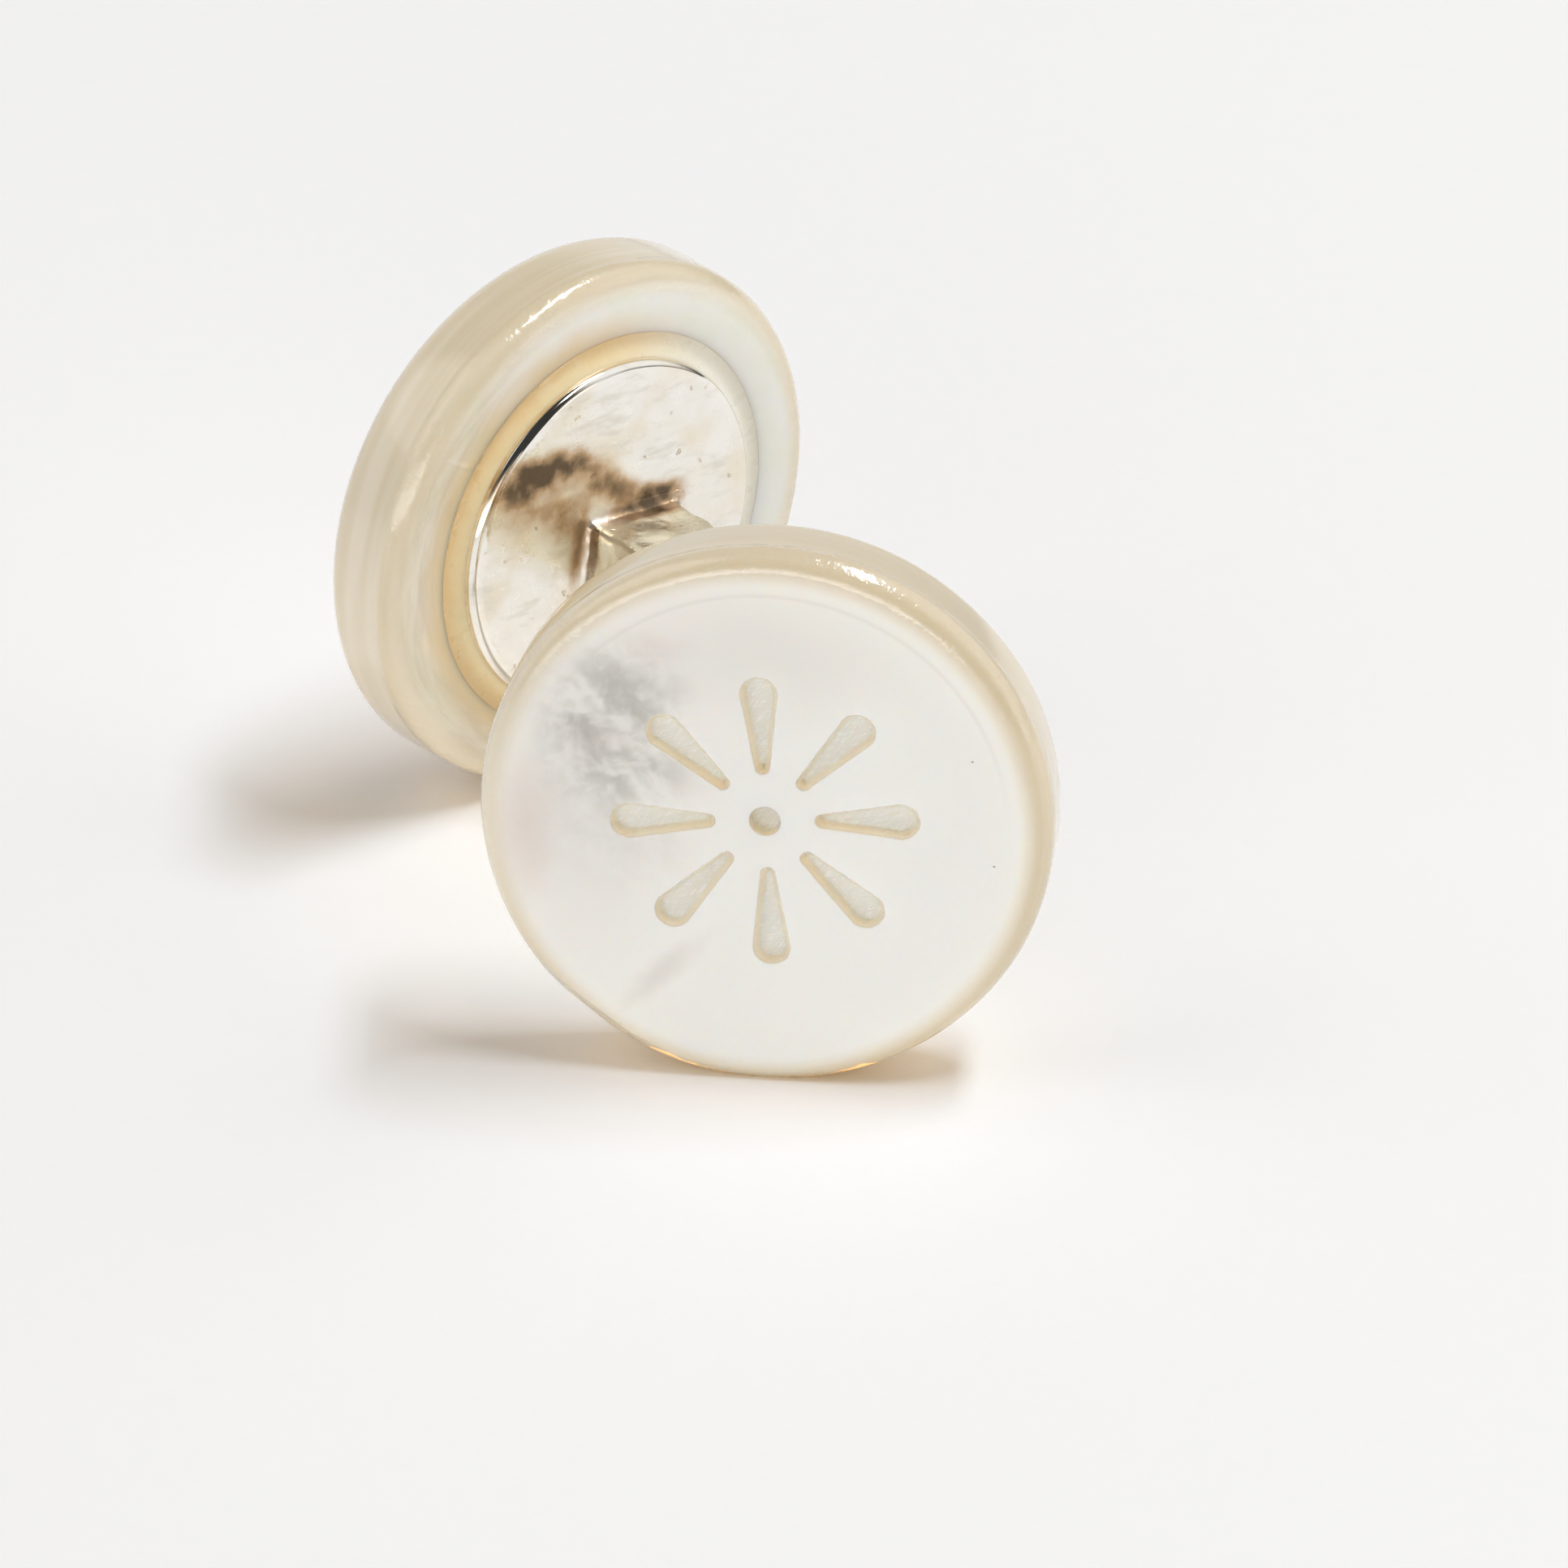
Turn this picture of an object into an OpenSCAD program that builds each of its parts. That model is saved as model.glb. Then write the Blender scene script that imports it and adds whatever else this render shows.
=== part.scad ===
// A double-ended cufflink of mother of pearl and silver, lying on its rims.
// Two thick shell discs face away from each other. Each has a silver plate
// cemented in a shallow turned seat on its inner side, and one curved silver
// bar is soldered to both plates, so the discs lean towards each other on one side.
// Row frame: +Y runs from the engraved front disc to the rear disc, +X is the side
// towards which the bar bulges, +Z is up, and the origin is under the middle of the
// whole thing, on the surface that it lies on.

/* [Shell discs] */
// Diameter of each shell disc at its widest
disc_d = 15; // [11:0.5:19]
// Thickness of each shell disc
disc_t = 2.65; // [2.2:0.05:4]
// Radius of the rounded edge of the outer face
outer_edge_r = 0.64; // [0.3:0.02:0.8]
// Radius of the rounded edge of the inner face
inner_edge_r = 0.62; // [0.3:0.02:0.8]
// Depth to which the wall is ground flat where the disc lies on a surface
rest_flat_depth = 0.14; // [0.1:0.01:0.2]
// Depth of the flat that is ground on the lower left of the front disc's rim
side_flat_depth = 0.09; // [0:0.01:0.2]
// Direction of that flat, anticlockwise from the right, seen from outside
side_flat_angle = 234; // [200:1:250]

/* [Turned seat] */
// Diameter of the shallow seat in each disc's inner face
seat_d = 11.2; // [10.4:0.1:11.8]
// Depth of the seat
seat_depth = 0.25; // [0.15:0.05:0.6]

/* [Silver link] */
// Diameter of each silver plate
plate_d = 9.86; // [8:0.02:10.2]
// Height by which a plate stands above the shell's inner face
plate_proud = 0.43; // [0.2:0.01:1]
// Radius of the rounded rim of a plate
plate_edge_r = 0.24; // [0.05:0.01:0.3]
// Angle by which each disc leans out of square with the line between the discs
lean = 24.7; // [10:0.1:30]
// Distance between the centres of the two inner faces
chord = 15.85; // [12:0.05:20]
// Width of the bar, in the plane in which it is bent
bar_w = 3.15; // [2:0.05:4.5]
// Height of the bar, square to the plane in which it is bent
bar_h = 1.9; // [1.2:0.05:3]
// Radius of the bar's softened long edges
bar_edge_r = 0.22; // [0.05:0.01:0.5]
// Distance of the bar's foot from the plate's centre, towards the bulge
foot_aside = 0.65; // [0:0.05:1.2]
// Distance of the bar's foot below the plate's centre
foot_below = 0.43; // [0:0.01:1]
// Radius of the hollow solder fillet round each foot
solder_r = 0.3; // [0.1:0.05:0.6]

/* [Cement] */
// Gap between the ring of cement and what it touches
cement_gap = 0.03; // [0.01:0.01:0.1]
// Depth of the cement's surface below the shell's inner face
cement_sunk = 0.04; // [0:0.01:0.1]

/* [Engraved rosette] */
// Number of strokes round the rosette
strokes = 8; // [5:1:10]
// Radius at which a stroke's round inner end is centred
stroke_from = 1.5; // [1.2:0.05:2]
// Radius at which a stroke's round outer end is centred
stroke_to = 3.55; // [2.6:0.05:4.5]
// Width of a stroke at its inner end
stroke_w_in = 0.45; // [0.3:0.05:0.7]
// Width of a stroke at its outer end
stroke_w_out = 1.05; // [0.6:0.05:1.5]
// Depth of the strokes
stroke_depth = 0.32; // [0.1:0.01:0.6]
// Diameter of the drilled dot in the middle
dot_d = 0.9; // [0.5:0.05:1.2]
// Depth of the drilled dot
dot_depth = 0.42; // [0.1:0.01:0.7]
// Angle by which the rosette is turned out of upright
rosette_turn = 9; // [0:1:22]

/* [How it lies] */
// Angle by which the bulge of the bar hangs down
tip = 6.5; // [0:0.1:8]

/* [Hidden] */
$fn = 96;

shell_white = [0.93, 0.91, 0.87];
silver_grey = [0.80, 0.79, 0.76];
cement_amber = [0.80, 0.62, 0.33];

disc_r = disc_d / 2;
plate_r = plate_d / 2;
seat_r = seat_d / 2;
// Clearance of the plate over the floor of its seat, filled by a film of cement
plate_lift = cement_gap;
// Points along each rounded edge
edge_steps = 8;
// Any length that is surely larger than the whole thing
far = 60;
// Overlap that makes two solids one, and lets a cut run out past a face
bite = 0.2;

// A disc's outward normal leans up by this much, and its wall is ground to match,
// so that the wall lies flat on the surface
wall_draft = asin(sin(lean) * sin(tip));
// Length of the straight wall between the two rounded edges
wall_run = disc_t - outer_edge_r - inner_edge_r;
inner_r = disc_r - wall_run * tan(wall_draft);

// The bar is bent to an arc that leaves both plates squarely
foot_y = chord / 2 + foot_aside * sin(lean);
foot_x = foot_aside * cos(lean);
bend_r = foot_y / sin(lean);
bend_x = foot_x - bend_r * cos(lean);

// The surface lies under the disc's centre line by the radius, less what is ground off
side_angle = asin(sin(lean) * cos(tip));
axis_height = inner_r * cos(wall_draft) - inner_edge_r * sin(wall_draft) - rest_flat_depth;
reach_bulge = (inner_r - inner_edge_r) * cos(side_angle)
            - inner_edge_r * sin(side_angle) + inner_edge_r;
reach_away = (disc_r - outer_edge_r) * cos(side_angle)
           + (disc_t - outer_edge_r) * sin(side_angle) + outer_edge_r;
middle_x = (reach_bulge - reach_away) / 2;

// Points along a quarter or a longer stretch of a circle
function arc(cx, cy, r, from, to) =
    [for (i = [0:edge_steps])
        let (a = from + (to - from) * i / edge_steps) [cx + r * cos(a), cy + r * sin(a)]];

// Section of a disc, from its axis outwards; the inner face is at height 0
function disc_section() = concat(
    [[0, 0]],
    arc(inner_r - inner_edge_r, inner_edge_r, inner_edge_r, -90, 0),
    arc(disc_r - outer_edge_r, disc_t - outer_edge_r, outer_edge_r, 0, 90),
    [[0, disc_t]]);

// Section of a plate, whose exposed face is at the lowest height
function plate_section() = concat(
    [[0, -plate_proud]],
    arc(plate_r - plate_edge_r, plate_edge_r - plate_proud, plate_edge_r, -90, 0),
    [[plate_r, seat_depth - plate_lift], [0, seat_depth - plate_lift]]);

// Sets the pair of discs on the surface, with the bulge of the bar hanging down
module lying() {
    translate([-middle_x, 0, axis_height]) rotate([0, tip, 0]) children();
}

// Puts a shape made on a disc's own axes, with +Z outwards, at the front or the rear
module at_front() {
    translate([0, -chord / 2, 0]) rotate([90, 0, -lean]) children();
}

module at_rear() {
    translate([0, chord / 2, 0]) rotate([-90, 0, lean]) children();
}

// A turned disc with its seat
module disc_blank() {
    difference() {
        rotate_extrude() polygon(disc_section());
        translate([0, 0, -bite]) cylinder(r = seat_r, h = seat_depth + bite);
    }
}

// Everything above the surface that the thing lies on
module above_surface() {
    translate([-far / 2, -far / 2, 0]) cube(far);
}

// One stroke of the rosette, wider and rounder at its outer end
module stroke() {
    translate([stroke_from, 0]) circle(d = stroke_w_in);
    translate([stroke_to, 0]) circle(d = stroke_w_out);
    polygon([
        [stroke_from, -stroke_w_in / 2], [stroke_to, -stroke_w_out / 2],
        [stroke_to, stroke_w_out / 2], [stroke_from, stroke_w_in / 2]]);
}

module rosette_cut() {
    for (i = [0:strokes - 1])
        rotate(rosette_turn + i * 360 / strokes)
            translate([0, 0, disc_t - stroke_depth])
                linear_extrude(stroke_depth + bite) stroke();
    translate([0, 0, disc_t - dot_depth]) cylinder(d = dot_d, h = dot_depth + bite);
}

module side_flat_cut() {
    rotate(side_flat_angle)
        translate([disc_r - side_flat_depth, -far / 2, -far / 2]) cube(far);
}

module front_disc() color(shell_white) {
    intersection() {
        above_surface();
        lying() at_front() difference() {
            disc_blank();
            rosette_cut();
            side_flat_cut();
        }
    }
}

module rear_disc() color(shell_white) {
    intersection() {
        above_surface();
        lying() at_rear() disc_blank();
    }
}

// A round silver plate
module plate() {
    rotate_extrude() polygon(plate_section());
}

// Section of the bar, centred, with softened corners
module bar_section() {
    square([bar_w, bar_h - 2 * bar_edge_r], center = true);
    square([bar_w - 2 * bar_edge_r, bar_h], center = true);
    for (x = [-1, 1], y = [-1, 1])
        translate([x * (bar_w / 2 - bar_edge_r), y * (bar_h / 2 - bar_edge_r)])
            circle(r = bar_edge_r);
}

// The bar, an arc from one plate to the other
module bar() {
    translate([bend_x, 0, -foot_below])
        rotate([0, 0, -lean]) rotate_extrude(angle = 2 * lean)
            translate([bend_r, 0]) bar_section();
}

// The hollow fillet of solder round the bar's foot, at a plate's centre, with +Z outwards
module solder(up) {
    foot_w = bar_w + 2 * solder_r;
    foot_h = bar_h + 2 * solder_r;
    translate([foot_aside, -up * foot_below, -plate_proud - solder_r])
        difference() {
            translate([-foot_w / 2, -foot_h / 2, 0]) cube([foot_w, foot_h, solder_r + bite]);
            for (s = [-1, 1]) {
                translate([s * foot_w / 2, 0, 0])
                    rotate([90, 0, 0]) cylinder(r = solder_r, h = far, center = true);
                translate([0, s * foot_h / 2, 0])
                    rotate([0, 90, 0]) cylinder(r = solder_r, h = far, center = true);
            }
        }
}

module link() color(silver_grey) {
    lying() {
        bar();
        at_front() { plate(); solder(1); }
        at_rear() { plate(); solder(-1); }
    }
}

// The ring of cement in the seat, round the plate
module cement() {
    inner = plate_r + cement_gap;
    outer = seat_r - cement_gap;
    translate([0, 0, cement_sunk]) difference() {
        cylinder(r = outer, h = seat_depth - cement_gap - cement_sunk);
        translate([0, 0, -bite]) cylinder(r = inner, h = seat_depth + 2 * bite);
    }
}

module front_cement() color(cement_amber) lying() at_front() cement();
module rear_cement() color(cement_amber) lying() at_rear() cement();

front_disc();
rear_disc();
link();
front_cement();
rear_cement();
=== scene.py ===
"""A double-ended cufflink of mother of pearl and silver, finished round its solids."""
import math

import bpy
from mathutils import Matrix, Vector


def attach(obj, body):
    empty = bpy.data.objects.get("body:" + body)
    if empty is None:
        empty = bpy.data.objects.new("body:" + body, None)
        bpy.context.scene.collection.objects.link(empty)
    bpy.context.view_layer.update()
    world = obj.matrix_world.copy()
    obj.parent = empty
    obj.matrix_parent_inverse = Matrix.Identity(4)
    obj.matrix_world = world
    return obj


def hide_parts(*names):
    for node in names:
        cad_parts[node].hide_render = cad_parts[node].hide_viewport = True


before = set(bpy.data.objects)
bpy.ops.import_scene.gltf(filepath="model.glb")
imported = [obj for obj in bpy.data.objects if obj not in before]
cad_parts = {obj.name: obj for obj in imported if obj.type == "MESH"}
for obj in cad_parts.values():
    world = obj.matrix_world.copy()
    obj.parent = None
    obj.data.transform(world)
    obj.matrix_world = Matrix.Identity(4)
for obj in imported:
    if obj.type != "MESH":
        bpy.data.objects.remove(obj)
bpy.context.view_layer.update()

# Sizes on the bench are in millimetres, the same as the solids have
MM = 0.001
DISC_R = 7.5
DISC_T = 2.65
OUTER_EDGE_R = 0.64
INNER_EDGE_R = 0.62
REST_FLAT_DEPTH = 0.14
SIDE_FLAT_DEPTH = 0.09
SIDE_FLAT_ANGLE = math.radians(234)
SEAT_R = 5.6
SEAT_DEPTH = 0.25
PLATE_R = 4.93
PLATE_PROUD = 0.43
PLATE_EDGE_R = 0.24
LEAN = math.radians(24.7)
CHORD = 15.85
BAR_W = 3.15
BAR_H = 1.9
BAR_EDGE_R = 0.22
FOOT_ASIDE = 0.65
FOOT_BELOW = 0.43
SOLDER_R = 0.3
CEMENT_GAP = 0.03
CEMENT_SUNK = 0.04
STROKES = 8
STROKE_FROM = 1.5
STROKE_TO = 3.55
STROKE_W_IN = 0.45
STROKE_W_OUT = 1.05
STROKE_DEPTH = 0.32
DOT_R = 0.45
DOT_DEPTH = 0.42
ROSETTE_TURN = math.radians(9)
TIP = math.radians(6.5)

# How the pair of discs lies, worked out as for the solids
WALL_DRAFT = math.asin(math.sin(LEAN) * math.sin(TIP))
INNER_R = DISC_R - (DISC_T - OUTER_EDGE_R - INNER_EDGE_R) * math.tan(WALL_DRAFT)
SIDE_ANGLE = math.asin(math.sin(LEAN) * math.cos(TIP))
AXIS_HEIGHT = (INNER_R * math.cos(WALL_DRAFT) - INNER_EDGE_R * math.sin(WALL_DRAFT)
               - REST_FLAT_DEPTH)
REACH_BULGE = ((INNER_R - INNER_EDGE_R) * math.cos(SIDE_ANGLE)
               - INNER_EDGE_R * math.sin(SIDE_ANGLE) + INNER_EDGE_R)
REACH_AWAY = ((DISC_R - OUTER_EDGE_R) * math.cos(SIDE_ANGLE)
              + (DISC_T - OUTER_EDGE_R) * math.sin(SIDE_ANGLE) + OUTER_EDGE_R)
MIDDLE_X = (REACH_BULGE - REACH_AWAY) / 2
FOOT_Y = CHORD / 2 + FOOT_ASIDE * math.sin(LEAN)
BEND_R = FOOT_Y / math.sin(LEAN)
BEND_X = FOOT_ASIDE * math.cos(LEAN) - BEND_R * math.cos(LEAN)

LYING = Matrix.Translation((-MIDDLE_X, 0, AXIS_HEIGHT)) @ Matrix.Rotation(TIP, 4, "Y")
AT_FRONT = (LYING @ Matrix.Translation((0, -CHORD / 2, 0))
            @ Matrix.Rotation(-LEAN, 4, "Z") @ Matrix.Rotation(math.pi / 2, 4, "X"))
AT_REAR = (LYING @ Matrix.Translation((0, CHORD / 2, 0))
           @ Matrix.Rotation(LEAN, 4, "Z") @ Matrix.Rotation(-math.pi / 2, 4, "X"))

# How finely the pieces are made
SIDES = 256
ROUND_STEPS = 8
# What counts as no distance at all, as a long edge, and as pointing straight down
TINY = 0.001
LONG = 1
DOWN = -0.999
# The angle in degrees past which an edge is left sharp
SHELL_CREASE = 32
SILVER_CREASE = 40
CEMENT_CREASE = 50
# Lumps and waves in a surface: their size, and how far they move it
DISC_WAVES = (4.5, 0.05)
PLATE_WAVES = (1.6, 0.03)
BAR_DIMPLES = ((0.7, 0.14), (0.3, 0.04))
CEMENT_LUMPS = (0.8, 0.03)


# Working on the bench

def clear_bench():
    """Nothing is selected, so that an operator acts on the next piece alone."""
    bpy.ops.object.select_all(action="DESELECT")


def take(piece):
    """The piece is the one that operators act on."""
    clear_bench()
    piece.select_set(True)
    bpy.context.view_layer.objects.active = piece


def open_up(piece, kind):
    """Goes into edit mode with nothing selected."""
    take(piece)
    bpy.ops.object.mode_set(mode="EDIT")
    bpy.ops.mesh.select_mode(type=kind)
    bpy.ops.mesh.select_all(action="DESELECT")


def close_up():
    bpy.ops.object.mode_set(mode="OBJECT")


def pick_points(piece, wanted):
    open_up(piece, "VERT")
    close_up()
    for point in piece.data.vertices:
        point.select = wanted(point.co)
    bpy.ops.object.mode_set(mode="EDIT")


def pick_edges(piece, wanted):
    """wanted() gets an edge's two ends."""
    open_up(piece, "EDGE")
    close_up()
    for edge in piece.data.edges:
        edge.select = wanted(*(piece.data.vertices[v].co for v in edge.vertices))
    bpy.ops.object.mode_set(mode="EDIT")


def pick_faces(piece, wanted):
    """wanted() gets a face's middle and its normal."""
    open_up(piece, "FACE")
    close_up()
    for face in piece.data.polygons:
        face.select = wanted(face.center, face.normal)
    bpy.ops.object.mode_set(mode="EDIT")


def added(name):
    """The piece that was just added, with its place in its mesh."""
    piece = bpy.context.object
    piece.name = piece.data.name = name
    bpy.ops.object.transform_apply()
    return piece


def finish_with(piece, kind, **settings):
    """Puts a modifier on the piece and applies it."""
    take(piece)
    modifier = piece.modifiers.new(kind.lower(), kind)
    for setting, value in settings.items():
        setattr(modifier, setting, value)
    bpy.ops.object.modifier_apply(modifier=modifier.name)


def join_or_cut(piece, other, how):
    """Takes the other shape away from the piece, or makes it one with it."""
    finish_with(piece, "BOOLEAN", operation=how, solver="EXACT", object=other)
    bpy.data.objects.remove(other)


def copy_of(piece, name):
    copied = piece.copy()
    copied.data = piece.data.copy()
    copied.name = copied.data.name = name
    bpy.context.collection.objects.link(copied)
    return copied


def uneven(piece, size, strength, direction="NORMAL", depth=2):
    """Moves the surface in or out a little, in lumps of that size."""
    lumps = bpy.data.textures.new(piece.name + "_lumps", "CLOUDS")
    lumps.noise_scale = size
    lumps.noise_depth = depth
    finish_with(piece, "DISPLACE", texture=lumps, strength=strength, direction=direction)


def outward_faces(piece):
    open_up(piece, "FACE")
    bpy.ops.mesh.select_all(action="SELECT")
    bpy.ops.mesh.remove_doubles(threshold=TINY / 10)
    bpy.ops.mesh.normals_make_consistent(inside=False)
    close_up()


def lay(piece, place):
    """Takes a piece from the bench to where it lies, still in millimetres."""
    take(piece)
    piece.matrix_world = place
    bpy.ops.object.transform_apply()


def grind(piece, point, outwards):
    """Grinds away what is past a plane, and closes the mesh there."""
    open_up(piece, "FACE")
    bpy.ops.mesh.select_all(action="SELECT")
    bpy.ops.mesh.bisect(plane_co=point, plane_no=outwards, use_fill=True, clear_outer=True,
                        threshold=TINY / 10)
    close_up()


def polish(piece, crease):
    """Shrinks the finished piece from millimetres to its real size, and smooths its shading."""
    take(piece)
    piece.scale = (MM, MM, MM)
    bpy.ops.object.transform_apply()
    bpy.ops.object.shade_smooth_by_angle(angle=math.radians(crease))
    finish_with(piece, "WEIGHTED_NORMAL", keep_sharp=True)


# The shell discs, made with the inner face at height 0 and the outer one up

# Chips in the rim of the front disc: the direction in degrees, and the depth
RIM_CHIPS = ((239, 0.1), (250, 0.07), (229, 0.04))
# How steeply a chip's facet looks up, for 1 sideways
CHIP_RISE = 0.75
# A stroke's cutter starts above the face, and first comes straight down
CUTTER_OVER = 0.1
CUTTER_STRAIGHT = 0.08
# Then it goes in and down over the lip, the sloped side and the hollow at its foot
STROKE_SECTION = ((0.02, 0.04), (0.04, 0.1), (0.04, 0.08), (0.045, 0.06), (0.05, 0.03))
STROKE_SIDES = 28
STROKE_CUTS = 11
# How far a point of a stroke may be out of line
STROKE_WAVER = 0.012
DOT_SIDES = 40
# The dot narrows towards its floor, which has a ring round a lower middle
DOT_TAPER = 0.86
DOT_RING = 0.16
DOT_SUNK = 0.08


def disc_blank(name):
    """A turned disc with rounded edges and a seat in its inner face."""
    clear_bench()
    bpy.ops.mesh.primitive_cylinder_add(vertices=SIDES, radius=DISC_R, depth=DISC_T,
                                        location=(0, 0, DISC_T / 2))
    disc = added(name)
    pick_points(disc, lambda at: at.z < TINY)
    bpy.ops.transform.resize(value=(INNER_R / DISC_R, INNER_R / DISC_R, 1),
                             center_override=(0, 0, 0))
    close_up()
    pick_edges(disc, lambda a, b: min(a.z, b.z) > DISC_T - TINY)
    bpy.ops.mesh.bevel(offset=OUTER_EDGE_R, segments=ROUND_STEPS, affect="EDGES")
    close_up()
    pick_edges(disc, lambda a, b: max(a.z, b.z) < TINY)
    bpy.ops.mesh.bevel(offset=INNER_EDGE_R, segments=ROUND_STEPS, affect="EDGES")
    close_up()
    pick_faces(disc, lambda at, way: way.z < DOWN)
    bpy.ops.mesh.inset(thickness=INNER_R - INNER_EDGE_R - SEAT_R)
    bpy.ops.mesh.extrude_region_move(TRANSFORM_OT_translate={"value": (0, 0, SEAT_DEPTH)})
    close_up()
    for direction in "XY":
        uneven(disc, *DISC_WAVES, direction, 0)
    return disc


def chip_rim(disc, angle, depth):
    """A small facet where the rounded edge of the outer face is chipped."""
    way = Vector((math.cos(angle), math.sin(angle), CHIP_RISE)).normalized()
    across = math.hypot(way.x, way.y)
    reach = ((DISC_R - OUTER_EDGE_R) * across + (DISC_T - OUTER_EDGE_R) * way.z
             + OUTER_EDGE_R)
    grind(disc, way * (reach - depth), way)


def stroke_cutter(name):
    """The shape of one graved stroke: wider at its outer end, with sloped sides."""
    top = DISC_T + CUTTER_OVER
    clear_bench()
    bpy.ops.mesh.primitive_circle_add(vertices=STROKE_SIDES, radius=STROKE_W_IN / 2,
                                      fill_type="NGON", location=(STROKE_FROM, 0, top))
    stroke = added(name)
    pick_points(stroke, lambda at: at.x > STROKE_FROM - TINY)
    bpy.ops.transform.translate(value=(STROKE_TO - STROKE_FROM, 0, 0))
    widen = STROKE_W_OUT / STROKE_W_IN
    bpy.ops.transform.resize(value=(widen, widen, 1), center_override=(STROKE_TO, 0, top))
    close_up()
    # The long sides get points of their own, so that they can waver
    pick_edges(stroke, lambda a, b: (a - b).length > LONG)
    bpy.ops.mesh.subdivide(number_cuts=STROKE_CUTS)
    bpy.ops.mesh.select_all(action="SELECT")
    bpy.ops.mesh.extrude_region_move(
        TRANSFORM_OT_translate={"value": (0, 0, -CUTTER_STRAIGHT)})
    bpy.ops.mesh.select_all(action="SELECT")
    bpy.ops.mesh.normals_make_consistent(inside=False)
    close_up()
    pick_faces(stroke, lambda at, way: way.z < DOWN)
    for inwards, down in STROKE_SECTION:
        bpy.ops.mesh.inset(thickness=inwards, depth=down)
    bpy.ops.mesh.quads_convert_to_tris(quad_method="BEAUTY", ngon_method="BEAUTY")
    bpy.ops.mesh.subdivide(number_cuts=2)
    close_up()
    return stroke


def rosette_cutter():
    """Every stroke, each a little different, and the drilled dot in the middle."""
    pattern = stroke_cutter("stroke_pattern")
    strokes = []
    for i in range(STROKES):
        stroke = copy_of(pattern, "stroke_%d" % i)
        open_up(stroke, "VERT")
        bpy.ops.mesh.select_all(action="SELECT")
        bpy.ops.transform.vertex_random(offset=STROKE_WAVER, seed=i + 1)
        close_up()
        stroke.rotation_euler.z = ROSETTE_TURN + i * 2 * math.pi / STROKES
        strokes.append(stroke)
    bpy.data.objects.remove(pattern)
    clear_bench()
    bpy.ops.mesh.primitive_cylinder_add(vertices=DOT_SIDES, radius=DOT_R,
                                        depth=2 * DOT_DEPTH, location=(0, 0, DISC_T))
    dot = added("dot")
    pick_faces(dot, lambda at, way: way.z < DOWN)
    bpy.ops.transform.resize(value=(DOT_TAPER, DOT_TAPER, 1), center_override=(0, 0, 0))
    bpy.ops.mesh.inset(thickness=DOT_RING, depth=0)
    bpy.ops.transform.translate(value=(0, 0, -DOT_SUNK))
    close_up()
    for stroke in strokes:
        stroke.select_set(True)
    bpy.ops.object.join()
    bpy.ops.object.transform_apply()
    return dot


def front_shell():
    disc = disc_blank("front_shell")
    side = Vector((math.cos(SIDE_FLAT_ANGLE), math.sin(SIDE_FLAT_ANGLE), 0))
    grind(disc, side * (DISC_R - SIDE_FLAT_DEPTH), side)
    for angle, depth in RIM_CHIPS:
        chip_rim(disc, math.radians(angle), depth)
    join_or_cut(disc, rosette_cutter(), "DIFFERENCE")
    lay(disc, AT_FRONT)
    grind(disc, (0, 0, 0), (0, 0, -1))
    polish(disc, SHELL_CREASE)
    return disc


def rear_shell():
    disc = disc_blank("rear_shell")
    lay(disc, AT_REAR)
    grind(disc, (0, 0, 0), (0, 0, -1))
    polish(disc, SHELL_CREASE)
    return disc


# The silver link, made on the axes of the bar's bend

# Rings along a plate's flat, from its rim inwards
PLATE_RINGS = 12
# Rings round the bar's foot: those on the fillet, those sunk in the plate, and their gap
FOOT_RINGS = 8
SUNK_RINGS = 4
FOOT_GAP = SOLDER_R / FOOT_RINGS
# Rings along the rest of the bar, and cuts along its sides and corners
BAR_RINGS = 50
BAR_CUTS = 7
BAR_CORNER_CUTS = 4


def plate(name, place):
    """A round plate with a rounded rim, beaten a little uneven."""
    clear_bench()
    seated = SEAT_DEPTH - CEMENT_GAP
    bpy.ops.mesh.primitive_cylinder_add(vertices=SIDES, radius=PLATE_R,
                                        depth=PLATE_PROUD + seated,
                                        location=(0, 0, (seated - PLATE_PROUD) / 2))
    made = added(name)
    pick_edges(made, lambda a, b: max(a.z, b.z) < TINY - PLATE_PROUD)
    bpy.ops.mesh.bevel(offset=PLATE_EDGE_R, segments=ROUND_STEPS, affect="EDGES")
    close_up()
    pick_faces(made, lambda at, way: way.z < DOWN)
    for _ in range(PLATE_RINGS):
        bpy.ops.mesh.inset(thickness=(PLATE_R - PLATE_EDGE_R) / (PLATE_RINGS + 0.5))
    close_up()
    uneven(made, *PLATE_WAVES, "Z")
    lay(made, place)
    return made


def from_plate(at):
    """How far along the bend a point of the bar is from the nearer plate's face."""
    turn = abs(math.atan2(at.y, at.x - BEND_X))
    return (LEAN - turn) * BEND_R - PLATE_PROUD


def flare(made, end):
    """Spreads a foot of the bar into a hollow fillet. end is -1 at the front, 1 at the rear."""
    for ring in range(-SUNK_RINGS, FOOT_RINGS):
        away = ring * FOOT_GAP
        rise = SOLDER_R - max(away, 0)
        spread = SOLDER_R - math.sqrt(SOLDER_R ** 2 - rise ** 2)
        turn = end * (LEAN - (PLATE_PROUD + away) / BEND_R)
        middle = (BEND_X + BEND_R * math.cos(turn), BEND_R * math.sin(turn), -FOOT_BELOW)
        pick_points(made, lambda at: (
            at.y * end > 0 and abs(from_plate(at) - away) < FOOT_GAP / 3))
        bpy.ops.transform.resize(
            value=(1 + 2 * spread / BAR_W, 1, 1 + 2 * spread / BAR_H),
            center_override=middle, orient_type="GLOBAL", orient_matrix_type="GLOBAL",
            orient_matrix=Matrix.Rotation(turn, 3, "Z"))
        close_up()


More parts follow.
